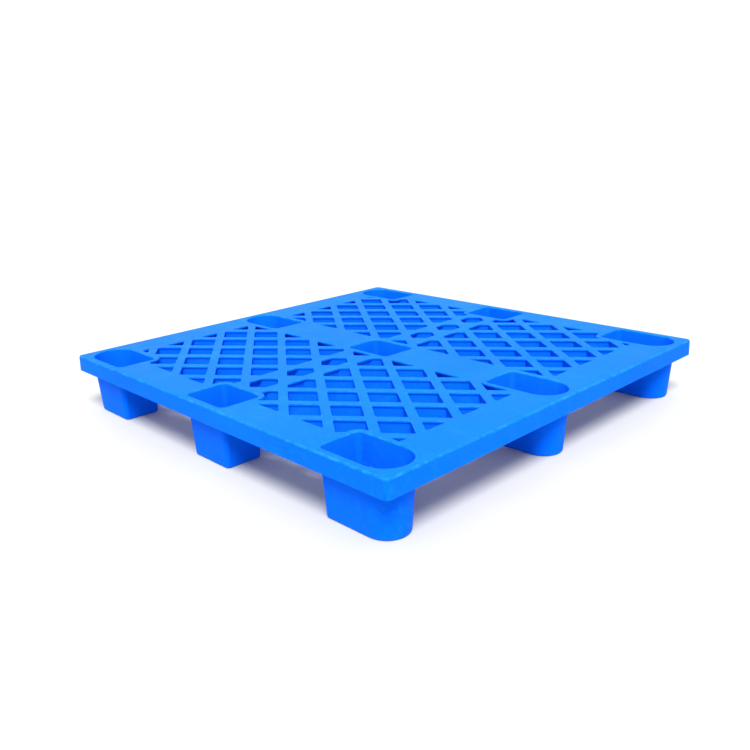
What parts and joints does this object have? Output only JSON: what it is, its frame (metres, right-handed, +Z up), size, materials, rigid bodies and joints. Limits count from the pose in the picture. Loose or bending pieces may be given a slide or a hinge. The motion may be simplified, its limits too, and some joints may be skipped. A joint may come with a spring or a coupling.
{
  "type": "plastic pallet",
  "caption": "Square nestable plastic pallet with a diamond grille deck, a shallow rim and hollow tapered legs, open to forks from all sides.",
  "frame": {"origin": "on the floor under the centre of the deck", "axes": "+Z up; +X towards the rounded ends of the right-hand legs; -Y is the front, the side with the flat faces of the legs seen at the left of the picture"},
  "size_m": [1.1, 1.1, 0.14],
  "materials": {
    "blue_plastic": "satin injection-moulded polyethylene, light handling scuffs and faint flow marks"
  },
  "bodies": {
    "root": {"leg_front_left": "blue_plastic", "leg_front_centre": "blue_plastic", "leg_front_right": "blue_plastic", "leg_middle_left": "blue_plastic", "leg_middle_centre": "blue_plastic", "leg_middle_right": "blue_plastic", "leg_rear_left": "blue_plastic", "leg_rear_centre": "blue_plastic", "leg_rear_right": "blue_plastic", "grille_front_left": "blue_plastic", "grille_front_centre": "blue_plastic", "grille_front_right": "blue_plastic", "grille_rear_left": "blue_plastic", "grille_rear_centre": "blue_plastic", "grille_rear_right": "blue_plastic", "border_front_left": "blue_plastic", "border_front_right": "blue_plastic", "border_rear_left": "blue_plastic", "border_rear_right": "blue_plastic", "border_left_front": "blue_plastic", "border_left_rear": "blue_plastic", "border_right_front": "blue_plastic", "border_right_rear": "blue_plastic", "band_left": "blue_plastic", "band_right": "blue_plastic"}
  },
  "joints": []
}
